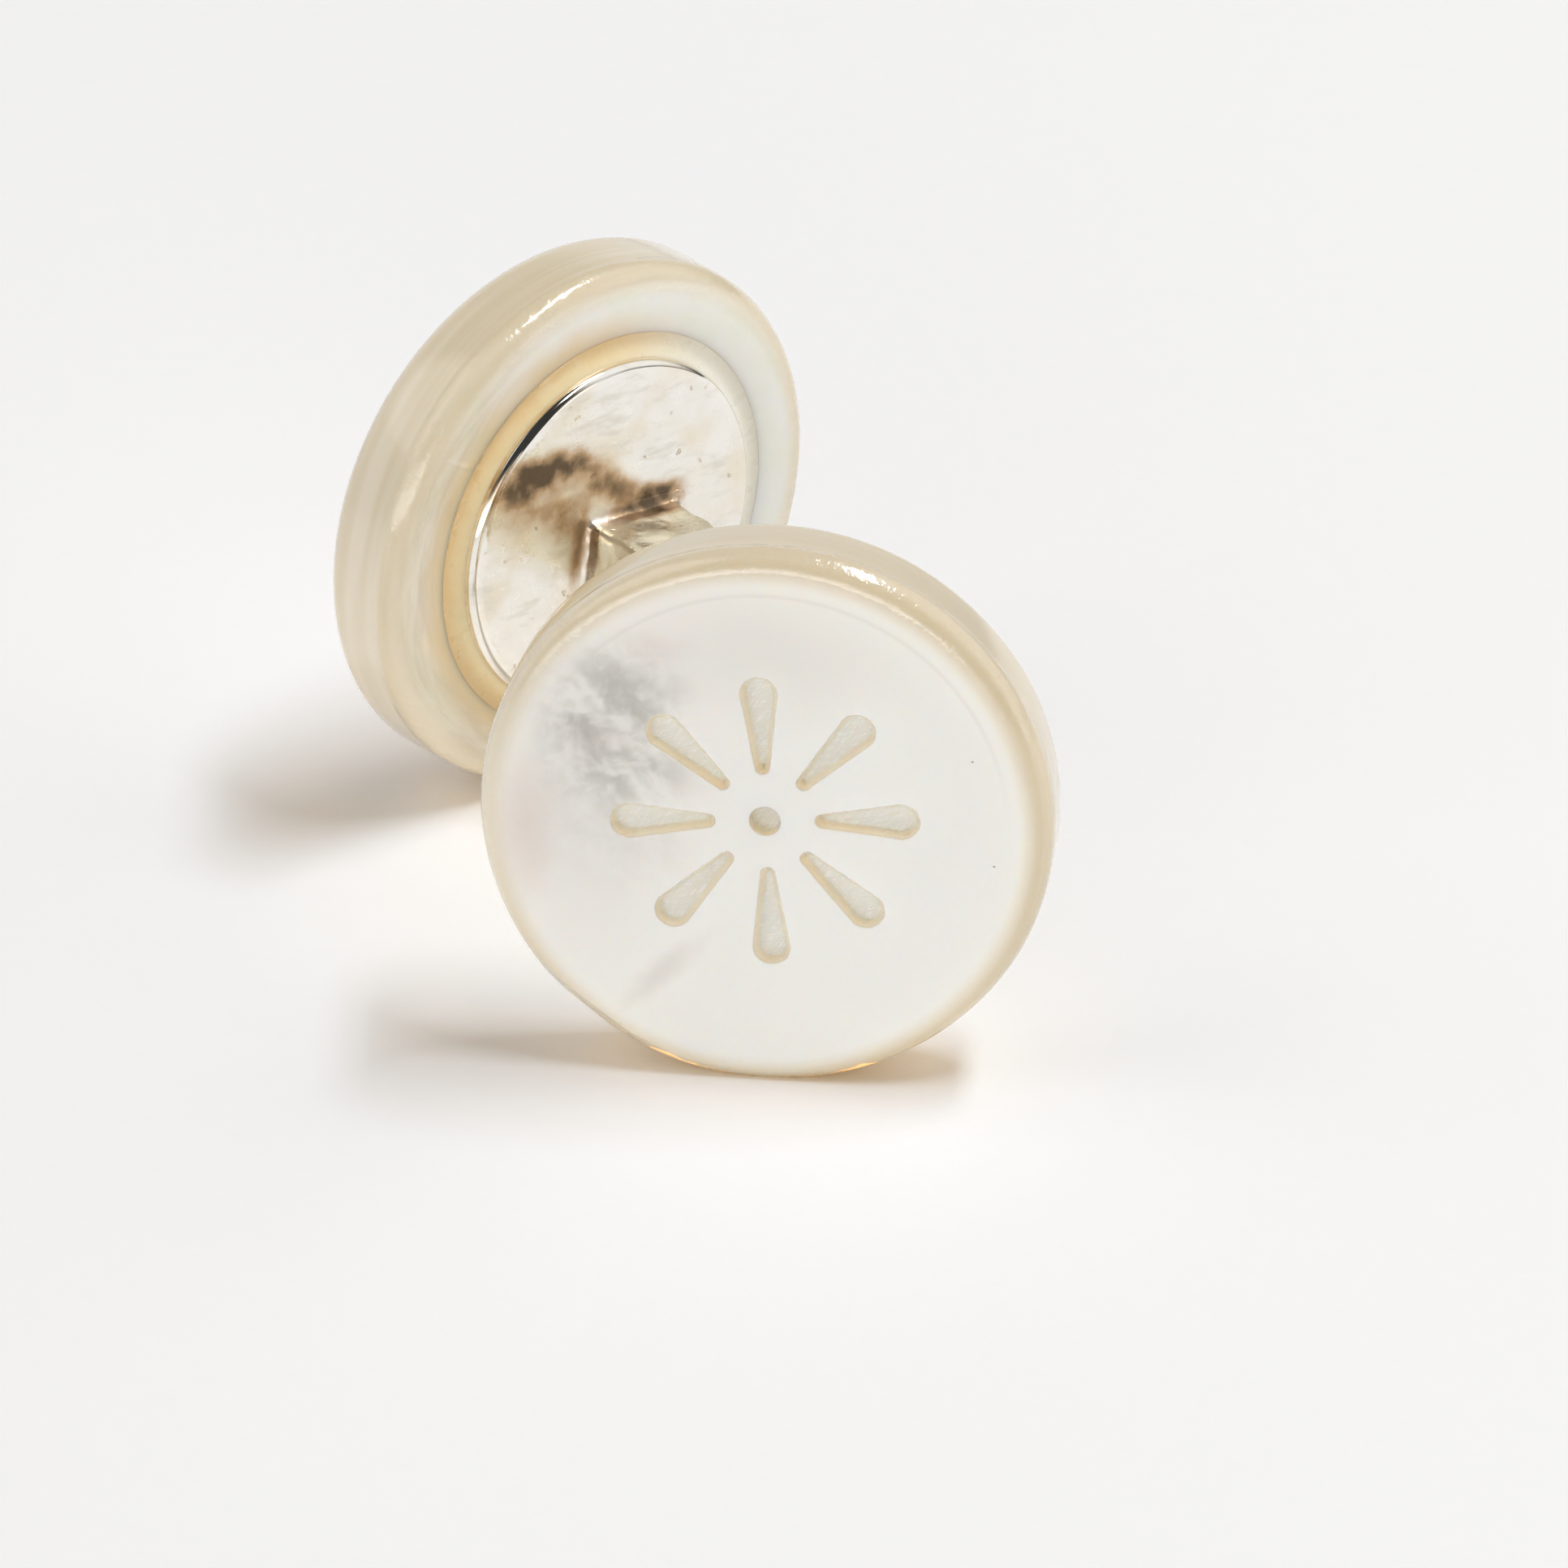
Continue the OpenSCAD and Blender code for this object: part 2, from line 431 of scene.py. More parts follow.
def bar():
    """The bar's section, spun along its bend, flaring out where it meets the plates."""
    clear_bench()
    start_turn = LEAN - (PLATE_PROUD - SUNK_RINGS * FOOT_GAP) / BEND_R
    start = (BEND_X + BEND_R * math.cos(start_turn), -BEND_R * math.sin(start_turn),
             -FOOT_BELOW)
    bpy.ops.mesh.primitive_plane_add(size=1, location=start,
                                     rotation=(math.pi / 2, 0, -start_turn))
    bpy.context.object.scale = (BAR_W, BAR_H, 1)
    made = added("bar")
    open_up(made, "VERT")
    bpy.ops.mesh.select_all(action="SELECT")
    bpy.ops.mesh.bevel(offset=BAR_EDGE_R, segments=BAR_CORNER_CUTS, affect="VERTICES")
    close_up()
    pick_edges(made, lambda a, b: (a - b).length > LONG)
    bpy.ops.mesh.subdivide(number_cuts=BAR_CUTS)
    bpy.ops.mesh.select_all(action="SELECT")
    foot_steps = FOOT_RINGS + SUNK_RINGS
    foot_turn = foot_steps * FOOT_GAP / BEND_R
    for turn, steps in ((foot_turn, foot_steps), (2 * (start_turn - foot_turn), BAR_RINGS),
                        (foot_turn, foot_steps)):
        bpy.ops.mesh.spin(steps=steps, angle=turn, center=(BEND_X, 0, -FOOT_BELOW),
                          axis=(0, 0, -1))
    close_up()
    outward_faces(made)
    for end in (-1, 1):
        flare(made, end)
    finish_with(made, "SUBSURF", levels=1, render_levels=1)
    for dimples in BAR_DIMPLES:
        uneven(made, *dimples)
    lay(made, LYING)
    return made


def silver_link():
    link = plate("silver_link", AT_FRONT)
    join_or_cut(link, plate("rear_plate", AT_REAR), "UNION")
    join_or_cut(link, bar(), "UNION")
    polish(link, SILVER_CREASE)
    return link


# The cement that shows round the plates

# The hair's breadth that the cement keeps from shell and silver
HAIR = 0.002
# Its surface creeps up at the plate, is hollow past that, and thins out at the seat's lip
CREEP = 0.16
CREEP_FALL = 2.5
HOLLOW = 0.05
LIP_FALL = 4
SURFACE_STEPS = 6


def cement_ring(name, place):
    """A ring of cement, made from its section by a spin round the disc's axis."""
    inner = PLATE_R + HAIR
    outer = SEAT_R - HAIR
    bottom = SEAT_DEPTH - HAIR
    clear_bench()
    bpy.ops.mesh.primitive_plane_add(size=1, rotation=(math.pi / 2, 0, 0), location=(
        (inner + outer) / 2, 0, (bottom + CEMENT_SUNK) / 2))
    bpy.context.object.scale = (outer - inner, bottom - CEMENT_SUNK, 1)
    ring = added(name)
    pick_edges(ring, lambda a, b: max(a.z, b.z) < CEMENT_SUNK + TINY)
    bpy.ops.mesh.subdivide(number_cuts=SURFACE_STEPS - 1)
    close_up()
    for step in range(SURFACE_STEPS + 1):
        share = step / SURFACE_STEPS
        reach = inner + share * (outer - inner)
        rise = (CREEP * (1 - share) ** CREEP_FALL - HOLLOW * math.sin(math.pi * share)
                + (CEMENT_SUNK - HAIR) * share ** LIP_FALL)
        pick_points(ring, lambda at: at.z < CEMENT_SUNK + TINY and abs(at.x - reach) < TINY)
        bpy.ops.transform.translate(value=(0, 0, -rise))
        close_up()
    open_up(ring, "EDGE")
    bpy.ops.mesh.select_all(action="SELECT")
    bpy.ops.mesh.delete(type="ONLY_FACE")
    bpy.ops.mesh.select_all(action="SELECT")
    bpy.ops.mesh.spin(steps=SIDES // 2, angle=2 * math.pi, center=(0, 0, 0), axis=(0, 0, 1))
    close_up()
    outward_faces(ring)
    uneven(ring, *CEMENT_LUMPS)
    lay(ring, place)
    polish(ring, CEMENT_CREASE)
    return ring


# Colours and finishes

# A height so large that a pattern doesn't change with it
ANY_HEIGHT = 1000


def tint(red, green, blue):
    """A colour as it looks on a screen, given for a shader."""
    return tuple((part / 255) ** 2.2 for part in (red, green, blue)) + (1,)


def node(tree, kind, feeds=None, **settings):
    """A shader node. feeds gives its sockets a value, or what another node puts out."""
    made = tree.nodes.new("ShaderNode" + kind)
    for setting, value in settings.items():
        setattr(made, setting, value)
    for socket, value in (feeds or {}).items():
        if isinstance(value, bpy.types.NodeSocket):
            tree.links.new(value, made.inputs[socket])
        else:
            made.inputs[socket].default_value = value
    return made


def sums(tree, operation, *terms, clamp=False):
    return node(tree, "Math", dict(enumerate(terms)), operation=operation,
                use_clamp=clamp).outputs[0]


def vectors(tree, operation, *terms, output=0):
    return node(tree, "VectorMath", dict(enumerate(terms)), operation=operation).outputs[output]


def product(tree, *terms):
    """Several shares multiplied together."""
    result = terms[0]
    for term in terms[1:]:
        result = sums(tree, "MULTIPLY", result, term)
    return result


def fade(tree, value, low, high, at_low=0.0, at_high=1.0):
    """Goes smoothly from one number to another as the value goes from low to high."""
    return node(tree, "MapRange", {"Value": value, "From Min": low, "From Max": high,
                                   "To Min": at_low, "To Max": at_high},
                interpolation_type="SMOOTHSTEP").outputs["Result"]


def over(tree, share, under, top, how="MIX"):
    """Lays one colour over another."""
    return node(tree, "Mix", {0: share, 6: under, 7: top}, data_type="RGBA",
                blend_type=how).outputs[2]


def clouds(tree, at, scale, detail=3.0, roughness=0.5, distortion=0.0, output="Fac"):
    return node(tree, "TexNoise", {"Vector": at, "Scale": scale, "Detail": detail,
                                   "Roughness": roughness, "Distortion": distortion}
                ).outputs[output]


def stretched(tree, at, sizes, place=(0, 0, 0), turn=(0, 0, 0)):
    """Centres, turns and stretches a pattern: sizes says how long it is each way."""
    return node(tree, "Mapping", {"Vector": at, "Location": place, "Rotation": turn,
                                  "Scale": sizes}, vector_type="TEXTURE").outputs[0]


def wavering(tree, at, scale, reach):
    """The same place moved about by up to half the reach, so that a clean shape turns ragged."""
    moves = vectors(tree, "SUBTRACT", clouds(tree, at, scale, 2, output="Color"), (0.5, 0.5, 0.5))
    return vectors(tree, "MULTIPLY_ADD", moves, (reach, reach, reach), at)


def spot(tree, at, place, sizes, turn=0.0, soft=1.0):
    """1 in the middle of an oval and 0 at its edge, whatever the height."""
    inside = stretched(tree, at, (*sizes, ANY_HEIGHT), (*place, 0), (0, 0, turn))
    return fade(tree, vectors(tree, "LENGTH", inside, output="Value"), 1 - soft, 1, 1, 0)


def on_bench(tree, place):
    """Where a point of the surface was on the bench, in millimetres."""
    coordinates = node(tree, "TexCoord").outputs["Object"]
    return stretched(tree, coordinates, (MM, MM, MM), place.translation * MM,
                     place.to_euler())


def parts_of(tree, at):
    """A place's x, y and z, and its distance from the disc's axis."""
    x, y, z = node(tree, "SeparateXYZ", {0: at}).outputs
    flat = vectors(tree, "MULTIPLY", at, (1, 1, 0))
    return x, y, z, vectors(tree, "LENGTH", flat, output="Value")


def material(name):
    made = bpy.data.materials.new(name)
    made.use_nodes = True
    made.node_tree.nodes.clear()
    return made


def surface(tree, feeds):
    shader = node(tree, "BsdfPrincipled", feeds)
    out = node(tree, "OutputMaterial")
    tree.links.new(shader.outputs[0], out.inputs["Surface"])


# Mother of pearl. Places on a face are in millimetres on the disc's own axes

NACRE_COOL = tint(248, 244, 238)
NACRE_WARM = tint(254, 249, 240)
NACRE_PINK = tint(238, 224, 219)
NACRE_SHADE = tint(233, 230, 223)
FLAME_GREY = tint(198, 196, 188)
FLAME_PALE = tint(238, 236, 230)
GROWTH_GREY = tint(224, 213, 192)
GROWTH_CREAM = tint(237, 229, 211)
NACRE_GREEN = tint(250, 254, 248)
WALL_TAN = tint(219, 205, 176)
WALL_CREAM = tint(230, 220, 199)
WALL_DEEP = tint(220, 206, 180)
WALL_FAR = tint(206, 190, 160)
HONEY_GLOW = tint(238, 208, 156)
# Paler than the shell's face: partly painted light that makes up for the shade down in the
# grooves
GRAVED_FLOOR_PAINTED_LIGHT = tint(252, 250, 242)
GRAVED_SCRATCH = tint(240, 237, 225)
GRAVED_SIDE = tint(246, 235, 214)
GRAVED_LIP = tint(230, 216, 194)
ARC_GREY = tint(220, 216, 209)
SPECK = tint(160, 152, 144)
FACE_SPECKS = ((5.15, 2.55), (6.04, -0.29))
SPECK_SIZE = (0.045, 0.035)
ARC_R = 6.33
# Soft ovals on the outer face, each with its place, its sizes and its share: ones that
# darken the face first, then pink ones
FACE_SHADES = (((-0.6, 4.6), (5.6, 2.8), 0.7), ((-4.8, 0.5), (4.2, 6.0), 0.8))
FACE_BLUSHES = (((-6.3, -1.3), (1.5, 2.8), 0.5), ((-3.4, 4.5), (1.3, 0.8), 0.3),
                ((-4.5, 1.6), (1.7, 1.3), 0.35))
# Between these distances from the axis the face gives way to the wall
FACE_ENDS = 6.58
WALL_STARTS = 7.28
# The graving lies within this distance
GRAVED_R = 4.5
# How deep a bump in the nacre is, for a height of 1
NACRE_BUMP = 0.01 * MM


def nacre(name, place, engraved):
    """Mother of pearl: clouded and near white on the faces, tan and layered on the wall."""
    made = material(name)
    tree = made.node_tree
    at = on_bench(tree, place)
    x, y, z, radius = parts_of(tree, at)

    drift = sums(tree, "MULTIPLY_ADD", x, 0.03, clouds(tree, at, 0.13, 2, 0.5, 0.4))
    face = over(tree, fade(tree, drift, 0.3, 0.7), NACRE_COOL, NACRE_WARM)
    if engraved:
        face = outer_face(tree, at, y, radius, face)
    inner = inner_face(tree, at, x, y, radius, face)
    face = over(tree, fade(tree, z, 0.4, 0.9, 1, 0), face, inner)
    wall = layered_wall(tree, at, x, z, engraved)
    colour = over(tree, wall_border(tree, x, y, z, radius, engraved), face, wall)

    roughness = fade(tree, clouds(tree, at, 0.9, 3), 0.3, 0.7, 0.1, 0.19)
    height = wavy_polish(tree, at, z, radius, engraved)
    if engraved:
        colour, roughness, height = graved(tree, at, z, radius, colour, roughness, height)
    bumped = node(tree, "Bump", {"Height": height, "Strength": 1.0, "Distance": NACRE_BUMP})
    surface(tree, {"Base Color": colour, "Roughness": roughness, "Normal": bumped.outputs[0],
                   "IOR": 1.56, "Subsurface Weight": 0.8, "Subsurface Scale": 1.0 * MM,
                   "Subsurface Radius": (1.0, 0.8, 0.6), "Coat Weight": 0.7,
                   "Coat Roughness": 0.05})
    return made


def layered_wall(tree, at, x, z, engraved):
    """Soft layers, one above the other, paler at the left, a few finer ones, and a deeper
    one where the wall turns over to the outer face."""
    layers = clouds(tree, stretched(tree, at, (14, 14, 1.0)), 1.0, 2, 0.5, 0.4)
    paler = sums(tree, "MULTIPLY_ADD", x, -0.02, layers)
    wall = over(tree, fade(tree, paler, 0.46, 0.76), WALL_TAN, WALL_CREAM)
    fine = clouds(tree, stretched(tree, at, (14, 14, 0.22)), 1.0, 2, 0.5, 0.3)
    wall = over(tree, fade(tree, fine, 0.5, 0.75, 0, 0.5), wall, WALL_CREAM)
    turning = sums(tree, "MULTIPLY_ADD", layers, 0.8, sums(tree, "SUBTRACT", z, 2.55))
    turning = sums(tree, "ABSOLUTE", turning)
    wall = over(tree, fade(tree, turning, 0.1, 0.4, 0.8, 0), wall, WALL_DEEP)
    if engraved:
        # The half next to the bar is darker
        away = product(tree, fade(tree, z, 1.3, 2.1, 0.7, 0), fade(tree, x, -2, 5, 1, 0.2))
        wall = over(tree, away, wall, WALL_FAR)
    return wall


def wall_border(tree, x, y, z, radius, engraved):
    """0 on the face and 1 on the wall. The wall of the engraved disc reaches further in over
    the edge at the top, and that of the plain one over its outer edge."""
    reach = sums(tree, "MULTIPLY_ADD", y, 0.012 if engraved else 0, radius)
    reach = sums(tree, "MULTIPLY_ADD", x, 0.008, reach)
    reach = sums(tree, "ADD", reach, fade(tree, z, 1.2, 1.6, 0, 0 if engraved else 0.4))
    return fade(tree, reach, FACE_ENDS, WALL_STARTS)


def wavy_polish(tree, at, z, radius, engraved):
    """The height of the polished surface: a little wavy, most of all, and with nicks, on the
    rounded edge that the photo shows."""
    waves = clouds(tree, at, 1.0, 3, 0.5)
    if engraved:
        on_edge = fade(tree, z, DISC_T - 0.8, DISC_T - 0.6)
    else:
        on_edge = fade(tree, z, 0.6, 0.8, 1, 0)
    on_edge = product(tree, on_edge, fade(tree, radius, 6.5, 6.9))
    height = sums(tree, "MULTIPLY", waves, fade(tree, on_edge, 0, 1, 0.6, 2.0))
    nicks = sums(tree, "MULTIPLY", clouds(tree, at, 2.2, 3, 0.6), on_edge)
    return sums(tree, "MULTIPLY_ADD", nicks, 5.0, height)


def outer_face(tree, at, y, radius, face):
    """Grey billows at the upper left with painted relief shading, a pink edge, a wisp below, a
    thin arc and two specks.
    """
    for place, sizes, share in FACE_SHADES:
        face = over(tree, product(tree, spot(tree, at, place, sizes), share), face, NACRE_SHADE)
    face = over(tree, billow_patch(tree, at), face, billows(tree, at))
    for place, sizes, share in FACE_BLUSHES:
        blush = product(tree, spot(tree, wavering(tree, at, 0.6, 1.5), place, sizes), share)
        face = over(tree, blush, face, NACRE_PINK, "MULTIPLY")
    wisp = spot(tree, wavering(tree, at, 0.7, 0.8), (-2.2, -4.7), (2.2, 0.5), 0.9)
    face = over(tree, product(tree, wisp, 0.35), face, FLAME_GREY)
    arc = sums(tree, "ABSOLUTE", sums(tree, "SUBTRACT", radius, ARC_R))
    arc = product(tree, fade(tree, arc, 0.0, 0.1, 0.3, 0), fade(tree, y, 0.5, 4.5))
    face = over(tree, arc, face, ARC_GREY)
    for speck in FACE_SPECKS:
        face = over(tree, spot(tree, at, speck, SPECK_SIZE, 0, 0.6), face, SPECK)
    return face


def billow_patch(tree, at):
    """How much of the billows shows: most at the upper left, ragged at the border."""
    ragged = wavering(tree, at, 0.5, 1.6)
    patch = sums(tree, "ADD", spot(tree, ragged, (-4.2, 2.3), (2.9, 3.2), -0.3),
                 product(tree, spot(tree, ragged, (-3.4, -0.2), (3.8, 3.8)), 0.35))
    return fade(tree, patch, 0.0, 0.85)


def billows(tree, at):
    """Soft puffs like those of a cloud, each with painted light on one side and painted shade on
    the other, as if in relief.
    """
    puffed = wavering(tree, at, 0.8, 1.0)
    hearts = node(tree, "TexVoronoi", {"Vector": puffed, "Scale": 0.9, "Smoothness": 1.0},
                  feature="SMOOTH_F1").outputs["Distance"]
    # Painted relief shading: the noise less the same noise moved a little gives each puff a lit
    # side and a shaded side
    moved = vectors(tree, "ADD", puffed, (0.1, 0.2, 0))
    relief = sums(tree, "SUBTRACT", clouds(tree, puffed, 1.0, 3, 0.5),
                  clouds(tree, moved, 1.0, 3, 0.5))
    light = sums(tree, "MULTIPLY_ADD", relief, 1.8, sums(tree, "MULTIPLY_ADD", hearts, -0.5, 0.6))
    return over(tree, fade(tree, light, 0.05, 0.75), FLAME_GREY, FLAME_PALE)


def inner_face(tree, at, x, y, radius, face):
    """Growth lines that follow the rim at the left, a hint of green, and a glow of the cement."""
    slow_x = sums(tree, "MULTIPLY", x, 0.15)
    slow_y = sums(tree, "MULTIPLY", y, 0.15)
    along_rim = node(tree, "CombineXYZ", {0: radius, 1: slow_x, 2: slow_y}).outputs[0]
    lines = fade(tree, clouds(tree, along_rim, 2.4, 3, 0.6, 0.5), 0.35, 0.65)
    leftwards = sums(tree, "MULTIPLY_ADD", y, -0.45, x)
    face = over(tree, fade(tree, leftwards, -4.5, 1.5, 1.0, 0.0), face,
                over(tree, lines, GROWTH_GREY, GROWTH_CREAM))
    green = fade(tree, clouds(tree, at, 0.5, 2), 0.45, 0.7)
    face = over(tree, green, face, NACRE_GREEN, "MULTIPLY")
    ragged = sums(tree, "MULTIPLY_ADD", clouds(tree, at, 0.7, 3), 0.6, radius)
    glow = product(tree, fade(tree, ragged, 5.8, 6.9, 1, 0), fade(tree, x, -2.0, 3.0, 1, 0.08))
    return over(tree, glow, face, HONEY_GLOW)


def graved(tree, at, z, radius, colour, roughness, height):
    """The strokes and the dot: peach sides with a darker lip, and a pale scratched floor whose
    colour is partly painted light, brighter than the shell's face to make up for the shade in the
    grooves.
    """
    inside = product(tree, fade(tree, z, DISC_T - 0.05, DISC_T - 0.02, 1, 0),
                     fade(tree, radius, GRAVED_R - 0.1, GRAVED_R + 0.1, 1, 0))
    depth = sums(tree, "MULTIPLY_ADD", clouds(tree, at, 3, 2), 0.05, z)
    floor_at = DISC_T - STROKE_DEPTH
    on_floor = fade(tree, depth, floor_at + 0.05, floor_at + 0.12, 1, 0)
    on_lip = fade(tree, z, DISC_T - 0.11, DISC_T - 0.05)
    across = clouds(tree, stretched(tree, at, (0.5, 0.05, 0.2), turn=(0, 0, 1.1)), 1, 3)
    along = clouds(tree, stretched(tree, at, (0.4, 0.04, 0.2), turn=(0, 0, 0.4)), 1, 3)
    lumps = clouds(tree, at, 4.5, 3, 0.6)
    scratches = sums(tree, "MULTIPLY", across, along)
    # The floor's pale colour is partly painted light against the shade in the grooves
    floor = over(tree, fade(tree, scratches, 0.24, 0.36), GRAVED_SCRATCH, GRAVED_FLOOR_PAINTED_LIGHT)
    side = over(tree, on_lip, GRAVED_SIDE, GRAVED_LIP)
    colour = over(tree, inside, colour, over(tree, on_floor, side, floor))
    roughness = sums(tree, "MULTIPLY_ADD", inside, 0.25, roughness)
    rough = sums(tree, "MULTIPLY_ADD", scratches, 4, sums(tree, "MULTIPLY", lumps, 3))
    height = sums(tree, "MULTIPLY_ADD", inside, rough, height)
    return colour, roughness, height


# Silver. Stains, and a painted reflection of the bar, lie on a plate, in millimetres on its own
# axes

SILVER = tint(248, 245, 238)
SILVER_WARM = tint(241, 229, 206)
SILVER_DULL = tint(228, 223, 210)
SILVER_OLIVE = tint(248, 240, 216)
SILVER_DARK = tint(212, 201, 170)
STAIN_AND_REFLECTION_TAN = tint(203, 171, 134)
STAIN_AND_REFLECTION_DARK = tint(92, 76, 56)
# Ovals that add up to the stains and a painted reflection of the bar: an arched band, partly
# tarnish and partly the bar's reflection painted brown, and a run of stains down the bar's side
STAIN_AND_REFLECTION_OVALS = (
    {"place": (-3.7, -2.2), "sizes": (1.8, 0.95), "turn": -0.2, "share": 0.7},
    {"place": (-2.5, -2.4), "sizes": (1.8, 1.0), "turn": 0.1, "share": 0.9},
    {"place": (-1.0, -2.0), "sizes": (1.7, 0.95), "turn": 0.5, "share": 0.6},
    {"place": (0.2, -1.15), "sizes": (1.9, 0.85), "turn": 0.25, "share": 0.6},
    {"place": (1.6, -0.8), "sizes": (1.4, 0.7), "turn": 0.0, "share": 0.9},
    {"place": (0.5, -0.6), "sizes": (1.9, 0.25), "turn": 0.0, "share": 0.5},
    {"place": (-3.0, -1.3), "sizes": (2.6, 1.2), "turn": 0.2, "share": 0.45},
    {"place": (-1.7, -0.7), "sizes": (1.1, 1.3), "turn": 0.0, "share": 0.4},
    {"place": (-1.15, 0.3), "sizes": (0.5, 1.9), "turn": 0.05, "share": 0.6},
)
# The plate's rim starts at this distance from its axis
RIM_FROM = 4.5
RIM_FULL = 4.7
# The middle level of the worked surface
WORKED_MIDDLE = 0.8
SILVER_BUMP = 0.06 * MM


def stain_and_painted_reflection(tree, at):
    """How dark the brown stains and the painted reflection of the bar are, with ragged borders.
    """
    ragged = wavering(tree, wavering(tree, at, 1.3, 0.25), 0.6, 0.4)
    total = 0.0
    for oval in STAIN_AND_REFLECTION_OVALS:
        part = spot(tree, ragged, oval["place"], oval["sizes"], oval["turn"])
        total = sums(tree, "MULTIPLY_ADD", part, oval["share"], total)
    return total


def polished_silver():
    """Silver with a hand-worked surface, small pits, brown stains round the solder, and a painted
    reflection of the bar over them.
    """
    made = material("worked_silver")
    tree = made.node_tree
    at = on_bench(tree, LYING)
    # Both ends are alike, so the stains and the painted reflection are worked out at the rear
    # plate alone
    x, y, z, _ = parts_of(tree, at)
    mirrored = node(tree, "CombineXYZ", {0: x, 1: sums(tree, "ABSOLUTE", y), 2: z}).outputs[0]
    rear = LYING.inverted() @ AT_REAR
    near = stretched(tree, mirrored, (1, 1, 1), rear.translation, rear.to_euler())
    depth = parts_of(tree, near)[2]
    on_bar = fade(tree, depth, -PLATE_PROUD - 0.5, -PLATE_PROUD - 0.15, 1, 0)
    on_plate = fade(tree, depth, -PLATE_PROUD - 0.8, -PLATE_PROUD - 0.3)
    stain_and_reflection = sums(tree, "MULTIPLY", stain_and_painted_reflection(tree, near), on_plate)
    mottle = clouds(tree, at, 1.8, 3, 0.5)
    stain_and_reflection = sums(tree, "MULTIPLY", stain_and_reflection, fade(tree, mottle, 0.3, 0.65, 0.7, 1.15))
    pits = node(tree, "TexVoronoi", {"Vector": wavering(tree, at, 3, 0.3), "Scale": 1.3}
                ).outputs["Distance"]
    pits = fade(tree, pits, 0.04, 0.13, 1, 0)
    inside_rim = fade(tree, parts_of(tree, near)[3], RIM_FROM, RIM_FULL, 1, 0.05)

    colour = tarnish_and_reflection_colour(tree, at, near, on_bar, stain_and_reflection, pits)
    roughness = worn(tree, at, on_bar, stain_and_reflection, inside_rim)
    height = worked_surface(tree, at, on_bar, pits, inside_rim)
    bumped = node(tree, "Bump", {"Height": height, "Strength": 1.0, "Distance": SILVER_BUMP})
    # Where it is oxidised, and where the reflection of the bar is painted, it shines less like
    # metal
    dull = sums(tree, "MULTIPLY_ADD", on_bar, 0.2, fade(tree, stain_and_reflection, 0.2, 0.9, 0, 0.6))
    metallic = sums(tree, "SUBTRACT", 1.0, dull, clamp=True)
    surface(tree, {"Base Color": colour, "Metallic": metallic, "Roughness": roughness,
                   "Normal": bumped.outputs[0]})
    return made


def tarnish_and_reflection_colour(tree, at, near, on_bar, stain_and_reflection, pits):
    """The metal's colour: warm and rubbed on the plates, olive on the bar, brown in the stains
    and the pits, and dark in the painted reflection of the bar."""
    warm = fade(tree, clouds(tree, at, 0.5, 3), 0.45, 0.7, 0, 0.7)
    metal = over(tree, warm, SILVER, SILVER_WARM)
    rubbed = clouds(tree, stretched(tree, near, (1.6, 0.5, 1)), 1, 4, 0.6)
    metal = over(tree, fade(tree, rubbed, 0.5, 0.7, 0, 0.8), metal, SILVER_DULL)
    blotches = fade(tree, clouds(tree, at, 0.55, 3, 0.5), 0.35, 0.7, 0, 0.8)
    metal = over(tree, on_bar, metal, over(tree, blotches, SILVER_OLIVE, SILVER_DARK))
    # Brown in the stains, and dark where the reflection of the bar is painted
    colour = over(tree, fade(tree, stain_and_reflection, 0.02, 0.6), metal, STAIN_AND_REFLECTION_TAN)
    colour = over(tree, fade(tree, stain_and_reflection, 0.38, 0.95, 0, 0.95), colour, STAIN_AND_REFLECTION_DARK)
    return over(tree, product(tree, pits, 0.45), colour, STAIN_AND_REFLECTION_TAN)


def worn(tree, at, on_bar, stain_and_reflection, inside_rim):
    """The metal's roughness: more in the stains and the painted reflection, less on the bar, and
    least on a plate's rim.
    """
    rubbed = fade(tree, clouds(tree, at, 1.7, 4), 0.35, 0.65, 0.24, 0.4)
    roughness = sums(tree, "MULTIPLY_ADD", fade(tree, stain_and_reflection, 0.1, 0.8), 0.15, rubbed)
    roughness = sums(tree, "MULTIPLY_ADD", on_bar, -0.04, roughness)
    rim_share = sums(tree, "MULTIPLY_ADD", inside_rim, 0.8, 0.2)
    return sums(tree, "MULTIPLY", roughness, rim_share)


def worked_surface(tree, at, on_bar, pits, inside_rim):
    """The metal's height: waves, pits and a fine grain on the plates, hammering on the bar."""
    waves = clouds(tree, at, 0.7, 4, 0.55)
    height = sums(tree, "MULTIPLY_ADD", waves, 1.3, sums(tree, "MULTIPLY", pits, -0.4))
    height = sums(tree, "MULTIPLY_ADD", clouds(tree, at, 3.0, 3), 0.3, height)
    # Taken from its middle level, so that it ends at the rim without a step
    height = sums(tree, "SUBTRACT", height, WORKED_MIDDLE)
    height = sums(tree, "MULTIPLY", height, inside_rim)
    hammered = sums(tree, "MULTIPLY", clouds(tree, at, 0.55, 1, 0.4), on_bar)
    return sums(tree, "MULTIPLY_ADD", hammered, 10.0, height)


# Cement and paper

HONEY = tint(247, 224, 178)
HONEY_DARK = tint(242, 207, 150)
HONEY_PALE = tint(248, 243, 228)
PAPER = tint(251, 250, 249)
PAPER_FIBRE = tint(248, 247, 247)
# How deep a bump in the cement or the paper is, for a height of 1
SOFT_BUMP = 0.03 * MM


